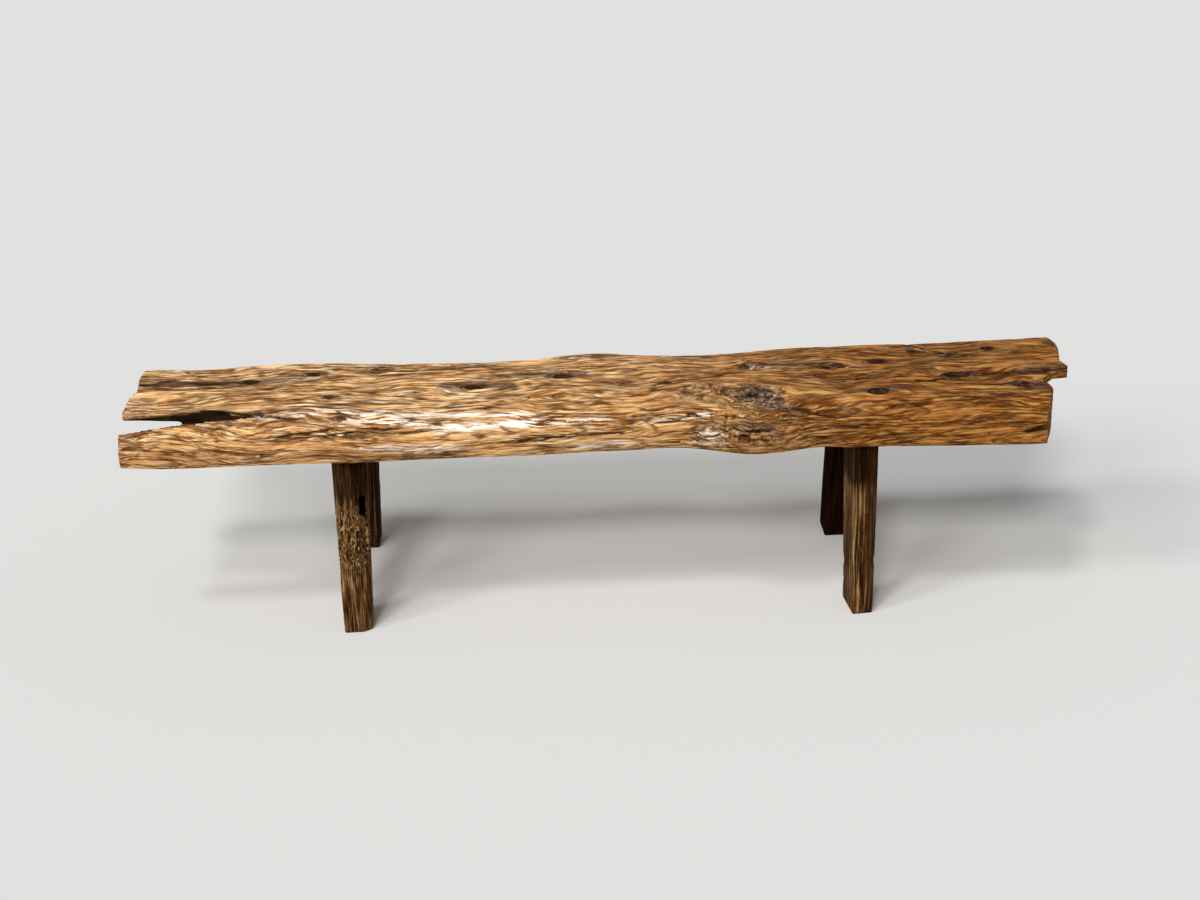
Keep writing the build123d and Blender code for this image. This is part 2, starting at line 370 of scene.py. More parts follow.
slab = {
    "voxel": 1.6,  # side of a face of the net
    "squeeze": (0.4, 1, 1),  # shortened so while the net is made, for longer faces along the grain
    # long sways and short ripples of the grain: size, seeds, reach across the top and down the front
    "sways": [((170, 110, 110), (91, 92), (26, 13)), ((54, 30, 26), (93, 94), (5.5, 2.6))],
    "whirl": (34, (41, 42, 43), 8),  # the same in the burls, in all directions
    "slant": {"middle": -745, "half": 70, "rise": 16},  # of the grain on the left prong
    "drift": {"start": 350, "slope": 0.1},  # climb of the grain towards the right end
    "pith": (20, 305),  # heart of the log in y and z, for the yearly rings
    "ringWidth": 8.5,
    "deepest": 0.3,  # share of the wood behind a spot that a furrow may take
    "jag": 2,  # how far the splintered ends are eaten back
    "jagReach": 60,  # and how far from the ends that is felt
    "knotReach": 45,  # how deep in the wood a knot still bends the grain
    "middle": (0, 10, 378),  # a point of the line that the skin is unrolled round
    "map": {"skin": 0.66, "inner": 0.1},  # share of the map for the skin and for the inner walls
    "combed": {"middle": (-330, 112), "half": (200, 38), "pitch": 19},  # ridges along the back edge
    "hollow": ((-940, -150, 338), (-560, 30, 430)),  # corners round the hollow of the left end, which is painted as shade
    "lip": ((-940, -116, 345), (-600, -55, 430)),  # and round the wall behind its lip, painted as shade too
    "plain": {"left": (-420, -200), "right": (380, 520)},  # where the evener ends of the front fade in
    # how deep each kind of weathering goes
    "relief": {"waves": 1.7, "hair": 0.9, "swell": 0.8, "lines": 2.2, "splits": 2.6, "gnarl": 2.6},
    # face, place along, place across, half length, half width, depth, kind
    "knots": [
        ("top", -700, 69, 28, 8, 3, "eye"),
        ("top", -582, 101, 22, 8, 2, "stain"),
        ("top", -533, -28, 22, 11, 1, "stain"),
        ("top", -664, -100, 14, 6, 3, "eye"),
        ("top", -502, -122, 12, 8, 2, "ring"),
        ("front", -317, 402, 13, 8, 2, "ring"),
        ("top", -453, 137, 24, 6, 3, "stain"),
        ("top", -456, 98, 20, 7, 3, "eye"),
        ("top", -254, 11, 36, 13, 4, "eye"),
        ("top", -363, -13, 9, 5, 3, "eye"),
        ("top", -78, 57, 24, 16, 3, "eye"),
        ("top", -100, 82, 24, 14, 2, "burl"),
        ("top", 37, 9, 15, 8, 3, "eye"),
        ("top", 130, 3, 14, 6, 3, "stain"),
        ("top", 302, 84, 24, 17, 4, "rot"),
        ("top", 474, 75, 34, 19, 4, "eye"),
        ("top", 200, -40, 62, 44, 2, "burl"),
        ("top", 300, -66, 52, 46, 4, "rot"),
        ("top", 340, -112, 24, 12, 2, "rot"),
        ("top", 264, -78, 15, 12, 9, "hole"),
        ("top", 293, -38, 16, 9, 9, "hole"),
        ("top", 318, -86, 11, 9, 8, "hole"),
        ("top", 287, -70, 8, 5, 7, "hole"),
        ("front", 268, 380, 12, 5, 5, "hole"),
        ("front", 296, 389, 10, 5, 5, "hole"),
        ("front", 292, 384, 62, 26, 3, "burl"),
        ("front", 215, 378, 46, 24, 2, "burl"),
        ("top", 557, 98, 30, 11, 3, "stain"),
        ("top", 646, 151, 24, 18, 3, "eye"),
        ("top", 686, 132, 14, 7, 2, "stain"),
        ("top", 720, 110, 44, 12, 3, "stain"),
        ("top", 790, 158, 16, 10, 3, "stain"),
        ("top", 711, 16, 34, 14, 4, "stain"),
        ("top", 539, -60, 24, 16, 5, "eye"),
        ("top", 825, -49, 22, 16, 4, "eye"),
    ],
    # face, points along and across, width, depth
    "cracks": [
        ("front", [(-681, 393), (-598, 396), (-511, 402), (-435, 399), (-330, 401)], 3.4, 5),
        ("front", [(-669, 388), (-577, 391), (-483, 396), (-387, 393), (-250, 398)], 2.6, 4),
        ("front", [(-353, 371), (-330, 369), (-305, 370)], 3, 4),
        ("front", [(-259, 368), (-158, 374), (-82, 376), (-5, 379), (60, 380)], 2.6, 4),
        ("front", [(82, 391), (155, 396), (169, 401), (212, 400)], 3, 5),
        ("front", [(239, 406), (230, 389)], 3.4, 5),
        ("top", [(350, -119), (399, -125), (425, -132), (450, -138), (520, -140)], 7, 6),
        ("front", [(240, 398), (252, 392), (268, 386), (300, 390), (330, 384)], 3.4, 5),
        ("front", [(799, 368), (824, 374), (852, 379)], 4, 7),
        ("front", [(330, 378), (420, 386), (520, 384)], 2.6, 3),
        ("top", [(451, -4), (511, 2), (552, 10)], 6, 5),
        ("top", [(571, -18), (652, -16), (700, -4)], 6, 5),
        ("top", [(734, 4), (780, 13), (833, 12), (911, 24)], 8, 8),
        ("top", [(826, 26), (870, 38), (940, 40)], 7, 7),
        ("top", [(858, 12), (900, 30), (942, 27)], 6, 6),
        ("top", [(-922, 60), (-860, 84), (-792, 58), (-700, 66)], 11, 5),
        ("top", [(-922, 40), (-846, 30), (-768, 34), (-700, 40)], 8, 4),
        ("top", [(-684, -103), (-640, -108), (-610, -116), (-560, -120)], 7, 5),
        ("top", [(-520, 118), (-420, 124), (-300, 128), (-190, 124)], 6, 5),
        ("top", [(-490, 100), (-400, 106), (-300, 108), (-180, 96)], 6, 5),
        ("top", [(-480, 84), (-380, 86), (-290, 84)], 6, 4),
        ("top", [(-60, 20), (0, 14), (60, 4)], 5, 3),
        ("top", [(-150, -70), (-140, -58), (-150, -44)], 2.4, 3),
        ("top", [(-90, -66), (-96, -50), (-84, -36)], 2.4, 3),
    ],
    # clefts that no light reaches
    "clefts": [
        ("top", [(-775, -84), (-736, -88), (-708, -100), (-680, -106)], 7),
        ("top", [(-690, -106), (-665, -110), (-638, -109)], 3.5),
    ],
    # smoky grey-brown stretches of old surface: face, points, half width
    "smoky": [
        ("top", [(-922, 62), (-800, 60), (-640, 66)], 17),
        ("top", [(-640, 96), (-560, 104)], 14),
        ("top", [(-470, 104), (-430, 118)], 14),
        ("top", [(-310, 20), (-180, 10)], 16),
        ("top", [(-160, 62), (-40, 66)], 18),
        ("top", [(300, 88), (345, 96), (470, 84)], 14),
        ("top", [(520, -64), (560, -56)], 14),
        ("front", [(270, 398), (320, 392)], 10),
        ("top", [(800, -42), (856, -58)], 15),
        ("top", [(836, 22), (884, 36), (945, 34)], 15),
        ("top", [(690, 130), (760, 108)], 9),
    ],
    # ridges rubbed smooth by sitting, with a clear coat and a pale colour that is partly worn wood and
    # partly painted highlight: face, points, half width
    "polished": [
        ("top", [(-700, -118), (-602, -106), (-545, -98), (-487, -98), (-418, -110), (-330, -116)], 15),
        ("top", [(-400, -113), (-255, -114), (-129, -115)], 9),
        ("top", [(-522, -130), (-388, -132), (-311, -150), (-235, -142), (-120, -140), (15, -127)], 12),
        ("front", [(-462, 372), (-387, 368), (-254, 362)], 9),
        ("front", [(-83, 354), (-6, 358), (71, 360)], 7),
        ("top", [(80, -139), (118, -129), (149, -125), (194, -121), (214, -129)], 7),
        ("front", [(150, 356), (186, 356), (210, 357), (240, 362)], 4),
        ("front", [(180, 369), (199, 379), (236, 375)], 6),
        ("front", [(196, 367), (216, 367)], 6),
    ],
    # hills of the weathering: size along, across and up, seed, layers, gain
    "hills": {
        "waves": ((90, 13, 7.5), 11, 3),
        "hair": ((40, 6.5, 3.6), 15, 2),
        "swell": ((210, 55, 55), 21, 2),
        "age": ((230, 60, 60), 25),
        "sway": ((40, 30, 30), 51, 3, 0.6),
        "smoky": ((40, 12, 12), 61, 3),
        "polished": ((40, 12, 12), 65, 3),
        "clefts": ((40, 12, 12), 69, 3),
        "pocked": ((16, 8, 8), 71),
        "torn": ((26, 12, 12), 73, 3),
        "frayed": ((34, 12, 7), 77, 2),
        "strands": ((1, 9, 16), 81, 4, 0.6),
        "clumps": ((1, 34, 40), 86),
        "crumbs": ((15, 9, 9), 96, 3, 0.6),
    },
    # creases of the weathering: size, seed, sharpness
    "creases": {
        "lines": ((180, 18, 10), 31, 5.5),
        "splits": ((190, 40, 26), 35, 11),
        "gnarl": ((24, 15, 9), 44, 2.6),
        "rot": ((14, 8, 8), 97, 3),
    },
    # noises of the finish: cells for each mm along, across and up, shift, detail, roughness, distortion
    "layers": {
        "bands": ((0.0048, 0.018, 0.028), (0, 0, 0), 3, 0.5),
        "streaks": ((0.0062, 0.052, 0.095), (7, 3, 5), 5, 0.6, 0.2),
        "threads": ((0.022, 0.17, 0.38), (1, 9, 4), 4, 0.66, 0.2),
        "veins": ((0.0045, 0.044, 0.1), (4, 6, 2), 2, 0.5, 0.3),
        "checks": ((0.009, 0.085, 0.19), (2, 8, 7), 3, 0.55, 0.3),
        "seams": ((0.005, 0.036, 0.062), (9, 2, 6), 3, 0.6, 0.2),
        "pores": ((0.16, 2.2, 2.2), (0, 0, 0), 2, 0.5),
        "mottle": ((0.02, 0.05, 0.05), (5, 5, 2), 3, 0.5),
        "lulls": ((0.007, 0.022, 0.03), (3, 7, 1), 2, 0.5),
    },
    "weights": {"streaks": 0.3, "threads": 1.15, "bands": 0.26},  # how much each shades the grain
    # the same for the torn wood, where the grain no longer leads, in cells for each metre
    "tornLayers": {
        "flakes": ((48, 80, 100), (3, 1, 4), 5, 0.62, 0.7),
        "rifts": ((40, 60, 80), (8, 2, 5), 3, 0.55, 0.9),
    },
    "colours": {
        "wood": [(0.2, (88, 44, 14)), (0.34, (166, 108, 52)), (0.45, (222, 166, 104)),
                 (0.58, (248, 206, 150)), (0.76, (255, 236, 200))],
        "honey": (196, 128, 46),
        "lateWood": (84, 50, 24),
        "vein": (88, 44, 14),
        "check": (74, 36, 11),
        "seam": (60, 30, 10),
        "flaky": [(0.36, (78, 46, 22)), (0.43, (176, 128, 80)), (0.49, (234, 192, 140)),
                  (0.62, (255, 232, 192))],
        "rift": (44, 26, 14),
        # darker right end, partly wood tone and partly painted shade
        "rightEnd": (194, 167, 124),
        "leftFront": (238, 216, 200),
        "knot": [(0.2, (14, 9, 6)), (0.45, (58, 43, 33)), (0.85, (136, 114, 92))],
        "smoky": [(0.3, (34, 22, 15)), (0.5, (84, 62, 47)), (0.72, (146, 116, 92))],
        "greyed": (124, 84, 56),
        "furrow": (74, 37, 12),
        "thread": (60, 29, 9),
        # pale colour of the rubbed ridges, partly worn wood and partly painted highlight
        "polish": (248, 226, 198),
        "rotten": [(0.38, (36, 25, 17)), (0.46, (96, 74, 56)), (0.53, (136, 112, 92)),
                   (0.64, (196, 170, 142))],
        "rottenRift": (26, 17, 11),
        "crack": (30, 16, 8),
        # painted shade, near black, for the hollow, the wall behind the lip and the clefts
        "buried": (10, 5, 2),
        "endCut": (92, 64, 38),
    },
}


def slabHills(spots, name):
    return hills(spots, *slab["hills"][name])


def slabCreases(spots, name):
    return creases(spots, *slab["creases"][name])


def onSlab(tree, face, along, across):
    # the spot and the outward direction of the skin there
    if face == "top":
        found = tree.ray_cast(Vector((along, across, 600)), Vector((0, 0, -1)))
    else:
        found = tree.ray_cast(Vector((along, -600, across)), Vector((0, 1, 0)))
    if found[0] is None:
        found = tree.find_nearest(Vector((along, across, 415)))  # over the open slot
    return np.array(found[0]), np.array(found[1])


def pathOnSlab(tree, face, points):
    return np.array([onSlab(tree, face, *point)[0] for point in points])


def slabKnots(tree, spots):
    # pushes the grain aside round each knot, and keeps the nearest knot's radius and kind
    grain = spots.copy()
    nearest = np.full(len(spots), 9.0)
    pit = np.zeros(len(spots))
    rot = np.zeros(len(spots))
    burl = np.zeros(len(spots))
    holes = np.zeros(len(spots))
    tails = np.zeros(len(spots))
    torn, pocked, frayed = [slabHills(spots, name) for name in ("torn", "pocked", "frayed")]
    for face, along, across, halfLength, halfWidth, depth, kind in slab["knots"]:
        centre, normal = onSlab(tree, face, along, across)
        if face == "top":
            normal = np.array([0.0, 0.0, 1.0])
        side = np.cross(normal, [1.0, 0, 0])
        side /= np.linalg.norm(side)
        arm = spots - centre
        a = arm[:, 0] / halfLength
        b = arm @ side / halfWidth
        fade = np.exp(-(arm @ normal / slab["knotReach"]) ** 2)
        if kind in ("eye", "stain"):
            radius = a * a + np.sqrt(b * b + 0.02) + 0.25 * pocked  # pointed along the grain
        else:
            radius = np.sqrt(a * a + b * b) + (0.5 * torn if kind == "rot" else 0.14 * pocked)
        push = -b * halfWidth / np.maximum(radius, 1) ** 2 * fade * (0.3 if kind == "burl" else 1)
        grain += push[:, None] * side
        radius = radius / np.maximum(fade, 0.02)
        core = 1 - ease(radius, 0.25, 1.0)
        if kind == "eye":
            pit += depth * core + 0.25 * np.cos(radius * 16) * (1 - ease(radius, 0.5, 1.4))
        elif kind == "ring":
            pit += 0.9 * np.cos(radius * 11) * (1 - ease(radius, 0.7, 1.5))
        elif kind == "stain":
            pit += depth * core * 0.6
        elif kind == "rot":
            rot = np.maximum(rot, 1 - ease(radius, 0.7, 1.25))
        elif kind == "hole":
            hole = 1 - ease(radius, 0.4, 1.1)
            pit += depth * hole
            holes = np.maximum(holes, hole)
        if kind in ("eye", "stain"):
            stretched = np.sqrt((a / 2.1) ** 2 + (b * 1.2) ** 2) / np.maximum(fade, 0.02)
            tails = np.maximum(tails, 1 - ease(stretched + 0.5 * frayed, 0.5, 1.2))
        if kind in ("burl", "hole"):
            burl = np.maximum(burl, 1 - ease(radius, 0.6, 1.3))
        else:
            nearest = np.minimum(nearest, radius)
    return grain, nearest, pit, rot, burl, holes, tails


def slabFurrows(grain, spots, burl):
    # depth of the weathered grain, in from the smooth skin
    waves, hair = slabHills(grain, "waves"), slabHills(grain, "hair")
    swell = slabHills(spots, "swell")
    age = ease(slabHills(spots, "age"), -0.35, 0.5)
    lines = slabCreases(grain, "lines") * (0.45 + 0.55 * age)
    comb = slab["combed"]
    combed = np.exp(-(((spots[:, :2] - comb["middle"]) / comb["half"]) ** 4).sum(1))
    ridges = 0.5 + 0.5 * np.cos(2 * math.pi * (grain[:, 1] / comb["pitch"] + 0.3 * swell))
    lines = np.maximum(lines * (1 - combed), combed * ridges)
    splits = slabCreases(grain, "splits") * age
    gnarl = slabCreases(grain, "gnarl") * burl
    shares = {
        "waves": 0.5 - 0.5 * waves, "hair": 0.5 - 0.5 * hair, "swell": 0.5 - 0.5 * swell,
        "lines": lines ** 1.4, "splits": splits ** 1.2, "gnarl": gnarl}
    depth = sum(slab["relief"][name] * share for name, share in shares.items())
    return depth, lines, splits, gnarl


def slabCracks(tree, spots):
    depth = np.zeros(len(spots))
    dark = np.zeros(len(spots))
    sway = 4 * slabHills(spots, "sway")
    for face, points, width, deep in slab["cracks"]:
        # swayed along the skin, and bound only loosely to the depth of the path in the wood
        swayed, loose = spots.copy(), np.ones(3)
        swayed[:, 1 if face == "top" else 2] += sway
        loose[2 if face == "top" else 1] = 0.2
        gap, along = distanceToPath(swayed * loose, pathOnSlab(tree, face, points) * loose)
        taper = np.clip(np.minimum(along, 1 - along) * 5, 0.25, 1)
        gape = 1 - ease(gap, 0, width * taper)
        depth = np.maximum(depth, 0.5 * deep * gape * taper)
        dark = np.maximum(dark, gape)
    return depth, dark


def patches(tree, spots, name):
    # ragged stretches along the listed paths
    patch = np.zeros(len(spots))
    ragged = slabHills(spots, name)
    for face, points, halfWidth in slab[name]:
        gap, along = distanceToPath(spots, pathOnSlab(tree, face, points))
        tip = np.clip(np.minimum(along, 1 - along) * 6, 0.3, 1) if name == "polished" else 1
        spread = (gap + 0.6 * halfWidth * ragged) / (halfWidth * tip)
        patch = np.maximum(patch, 1 - ease(spread, 0.4, 1.3))
    return patch


def bendGrain(grain, spots, normals, burl):
    # long sways, short ripples, a slanting stretch on the left prong and a whirl in each burl
    slant, drift = slab["slant"], slab["drift"]
    # only along the skin, so that the streaks stay long
    alongSkin = 1 - normals[:, 1:] ** 2
    grain[:, 1:] += sum(sideways(spots, *sway) for sway in slab["sways"]) * alongSkin
    climbed = np.tanh((spots[:, 0] - slant["middle"]) / slant["half"])
    grain[:, 2] += slant["rise"] * climbed * ease(-spots[:, 1], 80, 165)
    grain[:, 2] -= drift["slope"] * np.maximum(spots[:, 0] - drift["start"], 0) * alongSkin[:, 1]
    return grain + burl[:, None] * sideways(spots, *slab["whirl"])


def hollowAndLipShade(tree, spots, normals):
    # painted shade: 1 deep in the hollow under the left lip, where hardly any sky is seen, and on the wall
    # behind the lip
    buried = np.zeros(len(spots))
    sky = [(0, 0, 1), (0, -0.6, 1), (0, 0.6, 1), (-0.7, 0, 1), (0.7, 0, 1), (0, -1, 0.35), (-0.5, -0.8, 0.5)]
    rays = [Vector(ray).normalized() for ray in sky]
    seen = (normals[:, 2] > -0.35) | (spots[:, 2] > 356)  # not the underside
    for index in np.flatnonzero(within(spots, *slab["hollow"]) & seen):
        start = Vector(spots[index] + 1.5 * normals[index])
        blocked = sum(tree.ray_cast(start, ray, 400)[0] is not None for ray in rays)
        buried[index] = blocked / len(rays)
    wall = ease(-normals[:, 1], 0.2, 0.6) * (1 - ease(spots[:, 2], 412, 416)) * within(spots, *slab["lip"])
    return np.maximum(ease(buried, 0.12, 0.5), wall)


def splinterEnds(spots):
    # eats the two ends back by a different length for each strand of the grain
    cut = spots * [0, 1, 1]
    strands, clumps = slabHills(cut, "strands"), slabHills(cut + [3, 0, 0], "clumps")
    back = slab["jag"] * (0.5 + 0.5 * strands) + slab["jag"] * 0.5 * (0.5 + 0.5 * clumps)
    left, right = cadLow[0] / toMetres, cadHigh[0] / toMetres
    nearLeft = (1 - ease(spots[:, 0], left, left + slab["jagReach"])) * (spots[:, 0] < 0)
    nearRight = ease(spots[:, 0], right - slab["jagReach"], right) * (spots[:, 0] > 0)
    moved = spots.copy()
    moved[:, 0] += back * nearLeft - back * nearRight
    return moved


def weatherSlab(piece):
    mesh = piece.data
    tree = solidTree("seat_slab")
    spots = readVertices(mesh) / toMetres
    normals = readNormals(mesh)
    spare = woodBehind(tree, spots, normals) * slab["deepest"]
    grain, radius, pit, rot, burl, holes, tails = slabKnots(tree, spots)
    burl = np.maximum(burl, rot)
    grain = bendGrain(grain, spots, normals, burl)
    depth, lines, splits, gnarl = slabFurrows(grain, spots, burl)
    crackDepth, crackDark = slabCracks(tree, spots)
    crumbs = ease(slabHills(spots, "crumbs"), -0.15, 0.45)
    rotten = rot * (1 + 4 * crumbs + 2 * slabCreases(spots, "rot"))
    polish = patches(tree, spots, "polished")
    depth = depth * (1 - 0.35 * polish) + pit + crackDepth + rotten
    underside = ease(-normals[:, 2], 0.5, 0.9)
    depth = np.clip(depth * (1 - 0.8 * underside), 0, spare)
    moved = splinterEnds(spots) - normals * depth[:, None]
    writeVertices(mesh, keepInside(moved * toMetres, "seat_slab"))
    writeField(mesh, "grainPoint", grain)
    writeField(mesh, "knotRadius", np.minimum(radius, 3))
    writeField(mesh, "crack", np.maximum.reduce([crackDark, 0.8 * splits, holes]))
    writeField(mesh, "furrow", np.clip(0.75 * lines ** 1.6 + 0.7 * gnarl + 0.1 * (depth - 1.8), 0, 1))
    writeField(mesh, "smoky", np.maximum(patches(tree, spots, "smoky"), 0.55 * tails))
    writeField(mesh, "rot", rot)
    writeField(mesh, "burl", burl)
    plain = np.maximum(1 - ease(spots[:, 0], *slab["plain"]["left"]),
                       0.8 * ease(spots[:, 0], *slab["plain"]["right"]))
    writeField(mesh, "calm", ease(-normals[:, 1], 0.4, 0.8) * plain)
    writeField(mesh, "polish", polish)
    # painted shade in the hollow, on the wall behind the lip and in the clefts
    buried = hollowAndLipShade(tree, spots, normals)
    writeField(mesh, "buried", np.maximum(buried, patches(tree, spots, "clefts")))
    writeField(mesh, "endCut", ease(np.abs(normals[:, 0]), 0.75, 0.92))
    return mesh


def slabFinish():
    wood = Finish(bpy.data.materials.new("weatheredSlab"))
    colours = painted(slab["colours"])
    grain = wood.field("grainPoint", "Vector")
    radius, crack, furrow, smoky, rot, burl, calm, polish, buried, endCut = map(wood.field, (
        "knotRadius", "crack", "furrow", "smoky", "rot", "burl", "calm", "polish", "buried", "endCut"))
    along, across, up = [
        wood.node("SeparateXYZ", {}, {"Vector": grain}, output=axis) for axis in range(3)]
    noises = wood.layers(grain, slab["layers"])
    bands, streaks, threads, veins, checks, seams, pores, mottle, lulls = noises.values()
    # yearly rings, which swing across the face where the grain does
    fromPith = ((across - slab["pith"][0]) ** 2 + (up - slab["pith"][1]) ** 2) ** 0.5
    turns = (fromPith / slab["ringWidth"] + bands * 6 + streaks) * (2 * math.pi)
    years = wood.maths("SINE", turns)
    late = wood.between(years, -0.3, -0.95) * wood.between(mottle, 0.36, 0.58)
    # light and dark of the plain grain, weaker on the quiet patches
    swell = wood.weighed(noises, slab["weights"]) + years * 0.04
    swell = swell + wood.between(threads, 0.44, 0.56) * 0.08 - 0.04
    quiet = wood.between(lulls, 0.44, 0.62)
    shade = swell * (1 - calm * 0.5) * (1.1 - quiet * 0.6) + 0.5
    # three nets of thin dark lines, from wide to fine
    seam = wood.lineOf(seams, 0.05) * wood.between(threads, 0.3, 0.5)
    vein = wood.lineOf(veins, 0.055) * wood.between(mottle, 0.72, 0.42) * (1 - quiet * 0.4)
    check = wood.lineOf(checks, 0.07) * wood.between(mottle, 0.36, 0.56) * (1 - quiet * 0.5)
    colour = wood.ramp(shade, colours["wood"])
    colour = wood.blend(wood.between(mottle, 0.5, 0.66) * 0.35, colour, colours["honey"])
    colour = wood.blend(late * 0.5, colour, colours["lateWood"])
    colour = wood.blend(vein * 0.72, colour, colours["vein"])
    colour = wood.blend(check * 0.72, colour, colours["check"])
    colour = wood.blend(seam * 0.8, colour, colours["seam"])
    # torn, flaky wood on the burls
    spot = wood.node("TexCoord", output="Object")
    flakes, tears = wood.layers(spot, slab["tornLayers"]).values()
    rifts = wood.lineOf(tears, 0.035)
    colour = wood.blend(burl * 0.8, colour, wood.ramp(flakes, colours["flaky"]))
    colour = wood.blend(burl * rifts * 0.8, colour, colours["rift"])
    # darker towards the right end, partly a darker tone of the wood and partly painted shade away from the
    # light on the left; redder on the left of the front
    colour = wood.blend(wood.between(along, -350, 620), colour, colours["rightEnd"], "MULTIPLY")
    redder = calm * wood.between(along, 100, -100)
    colour = wood.blend(redder * 0.5, colour, colours["leftFront"], "MULTIPLY")
    greyed = wood.between(mottle, 0.46, 0.34) * wood.between(streaks, 0.56, 0.44)
    colour = wood.blend(greyed * 0.2, colour, colours["greyed"])
    colour = wood.blend(smoky * 0.92, colour, wood.ramp(shade, colours["smoky"]))
    # knots: rings round a dark heart, with a ragged edge
    knotRings = wood.maths("SINE", radius * 13 + threads * 4)
    knotShade = knotRings * 0.2 + (flakes - 0.5) * 1.5 + 0.4 + (radius - 0.75) * 0.5
    knot = wood.between(radius + (streaks - 0.5) * 2.4 + (threads - 0.5) * 1.6, 1.2, 0.65)
    colour = wood.blend(knot * 0.88, colour, wood.ramp(knotShade, colours["knot"]))
    colour = wood.blend(furrow * 0.78, colour, colours["furrow"])
    colour = wood.blend(wood.between(threads, 0.42, 0.3) * 0.6, colour, colours["thread"])
    # pale rubbed ridges, partly worn wood and partly painted highlight
    colour = wood.blend(polish * wood.between(shade, 0.38, 0.6) * 0.7, colour, colours["polish"])
    colour = wood.blend(rot * 0.85, colour, wood.ramp(flakes, colours["rotten"]))
    colour = wood.blend(rot * rifts * 0.85, colour, colours["rottenRift"])
    colour = wood.blend(crack * 0.92, colour, colours["crack"])
    # painted shade, near black, in the hollow, behind the lip and in the clefts
    colour = wood.blend(buried * 0.96, colour, colours["buried"])
    colour = wood.blend(endCut * 0.45, colour, colours["endCut"])
    height = shade + years * 0.1 + pores * 0.08 - late * 0.15 - vein * 0.4 - check * 0.5 - seam * 0.7
    height = height + burl * (flakes - rifts) * 0.8
    # a clear coat where the wood is rubbed, but not in its cracks
    coat = polish * wood.between(shade, 0.34, 0.52) * (1 - crack) * (1 - burl * 0.4)
    return wood.surface(**{
        "Base Color": colour, "Roughness": 0.6 + furrow * 0.25 + smoky * 0.15,
        "Normal": wood.bump(height, 2.2, 0.95), "Specular IOR Level": 0.08,
        "Specular Tint": (1.0, 0.72, 0.45, 1.0),
        "Coat Weight": coat, "Coat Roughness": 0.2, "Coat IOR": 1.8})


def makeSlab():
    piece = evenMesh("seat_slab", "weatheredSeat", slab["voxel"], slab["squeeze"])
    print("slab net:", len(piece.data.vertices), "points")
    mesh = weatherSlab(piece)
    low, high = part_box("seat_slab")
    middle = np.array(slab["middle"]) * toMetres
    unroll(mesh, 0, np.array([low[0], *middle[1:]]), np.array([high[0], *middle[1:]]), slab["map"])
    mesh.materials.append(slabFinish())
    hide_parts("seat_slab")
    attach(piece, "root")
    print("slab weathered")
    return piece


posts = {
    "voxel": 1.5,
    "squeeze": (1, 1, 0.5),
    "deepest": 0.15,
    "topOfPost": 340,  # where a post goes into the slab
    "map": {"skin": 0.7, "inner": 0.12},
    "hackedHeights": {"foot": (105, 150), "top": (225, 255)},  # where the hacked stretch fades in and out
    "slotHeights": (210, 280),
    # size of the hills and creases of the weathering, across, deep and up
    "sizes": {"sway": (60, 60, 160), "waves": (9, 9, 90), "lines": (11, 11, 180), "worn": (40, 40, 70),
              "dents": (22, 22, 30), "torn": 16, "scars": (10, 10, 17)},
    "relief": {"waves": 0.9, "lines": 1.6, "dents": 1.4, "scars": 2.2},
    # age: how far the wood is darkened, partly an old dark stain and partly painted shade on the back posts
    # under the bench; hacked: how much it is cut about
    # straight: length of the grain; sideShadeShare: how much painted shade darkens the right side of the
    # face
    "names": {
        "front_left_leg": {"seed": 101, "age": 0.0, "hacked": 1.0, "straight": 1.0, "sideShadeShare": 0.1},
        "front_right_leg": {"seed": 131, "age": 0.1, "hacked": 0.1, "straight": 2.0, "sideShadeShare": 0.7},
        "back_left_leg": {"seed": 161, "age": 0.75, "hacked": 0.0, "straight": 3.0, "sideShadeShare": 0.0},
        "back_right_leg": {"seed": 191, "age": 0.95, "hacked": 0.0, "straight": 3.0, "sideShadeShare": 0.0},
    },
    # noises of the finish: cells for each mm across, deep and up, shift, detail, roughness, distortion
    "layers": {
        "streaks": ((0.15, 0.15, 0.007), (0, 0, 0), 5, 0.62),
        "threads": ((0.5, 0.5, 0.024), (3, 1, 8), 4, 0.6),
    },
    # the same for those that the run of the grain doesn't stretch
    "crossLayers": {
        "grit": ((0.5, 0.5, 0.2), (2, 7, 4), 4, 0.65),
        "bands": ((0.03, 0.03, 0.006), (6, 2, 1), 2, 0.5),
        "scratches": ((0.1, 0.1, 0.04), (5, 2, 9), 2, 0.5, 1.0),
    },
    "weights": {"streaks": 1.3, "threads": 1.5, "grit": 0.4, "bands": 0.4},
    "colours": {
        "wood": [(0.24, (30, 14, 4)), (0.42, (62, 37, 16)), (0.54, (96, 64, 34)),
                 (0.68, (138, 102, 62)), (0.85, (190, 156, 112))],
        "hacked": (128, 88, 48),
        "furrow": (30, 14, 4),
        "scratch": (198, 160, 108),
        "worn": (180, 144, 98),
        # painted shadow of the slab on the tops of the posts
        "paintedSlabShadow": (20, 7, 1),
        # painted shade inside the slots
        "sunk": (8, 3, 1),
        # painted shade on the right side of a post
        "dim": (40, 22, 8),
        # dark old stain together with painted shade
        "darkStainAndShade": (18, 5, 1),
    },
}


